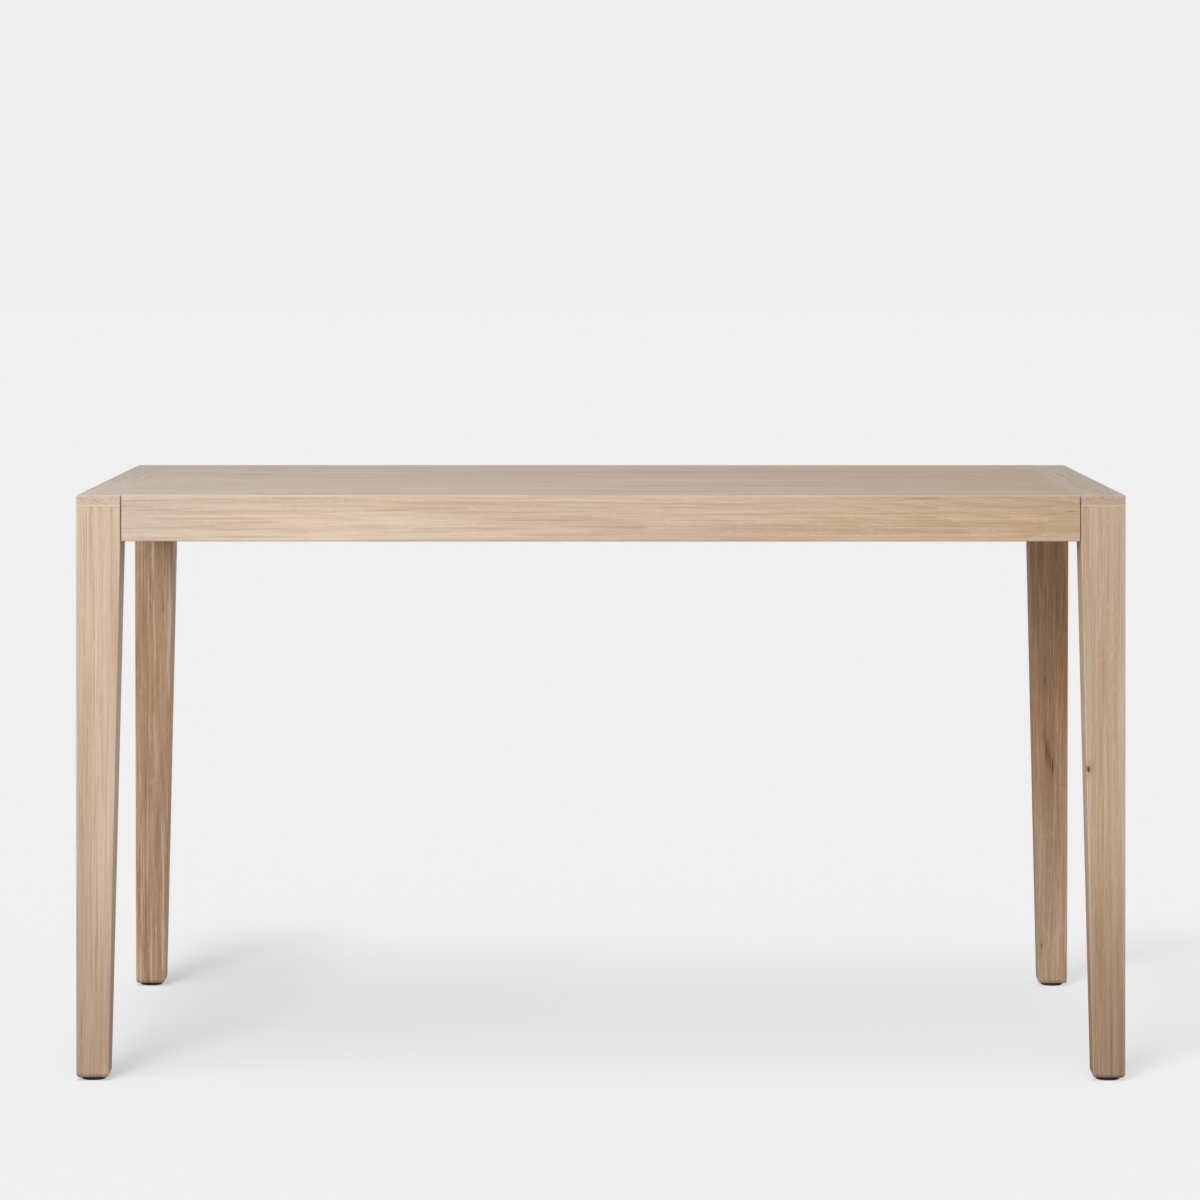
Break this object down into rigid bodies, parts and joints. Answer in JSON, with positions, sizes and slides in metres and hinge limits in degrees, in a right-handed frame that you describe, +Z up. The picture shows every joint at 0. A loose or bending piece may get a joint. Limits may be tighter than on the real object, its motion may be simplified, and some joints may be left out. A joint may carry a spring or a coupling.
{
  "type": "communion table",
  "caption": "Plain oak communion table with square tapered legs, flush mitred aprons, end caps over the legs and levelling glides.",
  "frame": {"origin": "on the floor under the middle of the table", "axes": "+Z up, +X along the table's length to the right as seen from the front, -Y towards the front"},
  "size_m": [1.37, 0.76, 0.765],
  "materials": {
    "oak_top": "limed, matt",
    "oak_cap": "limed, matt",
    "oak_apron": "limed, matt",
    "oak_leg": "limed, matt",
    "oak_inner": "sanded, unfinished",
    "beech": "sanded, unfinished",
    "zinc_steel": "bright zinc plate",
    "black_nylon": "satin black"
  },
  "bodies": {
    "table": {"apron_dowels": "beech", "back_apron": "oak_apron", "back_left_corner_brace": "oak_inner", "back_left_glide_insert": "zinc_steel", "back_left_leg": "oak_leg", "back_right_corner_brace": "oak_inner", "back_right_glide_insert": "zinc_steel", "back_right_leg": "oak_leg", "bolt_inserts": "zinc_steel", "bolt_washers": "zinc_steel", "cap_dowels": "beech", "frame_bolts": "zinc_steel", "front_apron": "oak_apron", "front_left_corner_brace": "oak_inner", "front_left_glide_insert": "zinc_steel", "front_left_leg": "oak_leg", "front_right_corner_brace": "oak_inner", "front_right_glide_insert": "zinc_steel", "front_right_leg": "oak_leg", "left_batten": "oak_inner", "left_cross_rail": "oak_inner", "left_end_beam": "oak_inner", "left_end_cap": "oak_cap", "locating_dowels": "beech", "loose_tenons": "beech", "right_batten": "oak_inner", "right_cross_rail": "oak_inner", "right_end_beam": "oak_inner", "right_end_cap": "oak_cap", "top_board_1": "oak_top", "top_board_2": "oak_top", "top_board_3": "oak_top", "top_board_4": "oak_top", "top_board_5": "oak_top", "top_board_6": "oak_top", "top_screws": "zinc_steel"},
    "front_left_glide_base": {"front_left_glide_base": "black_nylon"},
    "front_left_glide_stem": {"front_left_glide_stem": "zinc_steel"},
    "front_right_glide_base": {"front_right_glide_base": "black_nylon"},
    "front_right_glide_stem": {"front_right_glide_stem": "zinc_steel"},
    "back_left_glide_base": {"back_left_glide_base": "black_nylon"},
    "back_left_glide_stem": {"back_left_glide_stem": "zinc_steel"},
    "back_right_glide_base": {"back_right_glide_base": "black_nylon"},
    "back_right_glide_stem": {"back_right_glide_stem": "zinc_steel"}
  },
  "joints": [
    {"name": "front_left_glide_slide", "type": "slide", "parent": "table", "child": "front_left_glide_base", "axis": [0, 0, -1], "range_m": [0, 0.01]},
    {"name": "front_left_glide_turn", "type": "hinge", "parent": "front_left_glide_base", "child": "front_left_glide_stem", "pos_m": [-0.664, -0.359, 0.01], "axis": [0, 0, -1], "range_deg": [0, 2880]},
    {"name": "front_right_glide_slide", "type": "slide", "parent": "table", "child": "front_right_glide_base", "axis": [0, 0, -1], "range_m": [0, 0.01]},
    {"name": "front_right_glide_turn", "type": "hinge", "parent": "front_right_glide_base", "child": "front_right_glide_stem", "pos_m": [0.664, -0.359, 0.01], "axis": [0, 0, -1], "range_deg": [0, 2880]},
    {"name": "back_left_glide_slide", "type": "slide", "parent": "table", "child": "back_left_glide_base", "axis": [0, 0, -1], "range_m": [0, 0.01]},
    {"name": "back_left_glide_turn", "type": "hinge", "parent": "back_left_glide_base", "child": "back_left_glide_stem", "pos_m": [-0.664, 0.359, 0.01], "axis": [0, 0, -1], "range_deg": [0, 2880]},
    {"name": "back_right_glide_slide", "type": "slide", "parent": "table", "child": "back_right_glide_base", "axis": [0, 0, -1], "range_m": [0, 0.01]},
    {"name": "back_right_glide_turn", "type": "hinge", "parent": "back_right_glide_base", "child": "back_right_glide_stem", "pos_m": [0.664, 0.359, 0.01], "axis": [0, 0, -1], "range_deg": [0, 2880]}
  ],
  "couplings": [
    {"joint": "front_left_glide_slide", "follows": "front_left_glide_turn", "m_per_rad": 0.00019894},
    {"joint": "front_right_glide_slide", "follows": "front_right_glide_turn", "m_per_rad": 0.00019894},
    {"joint": "back_left_glide_slide", "follows": "back_left_glide_turn", "m_per_rad": 0.00019894},
    {"joint": "back_right_glide_slide", "follows": "back_right_glide_turn", "m_per_rad": 0.00019894}
  ]
}
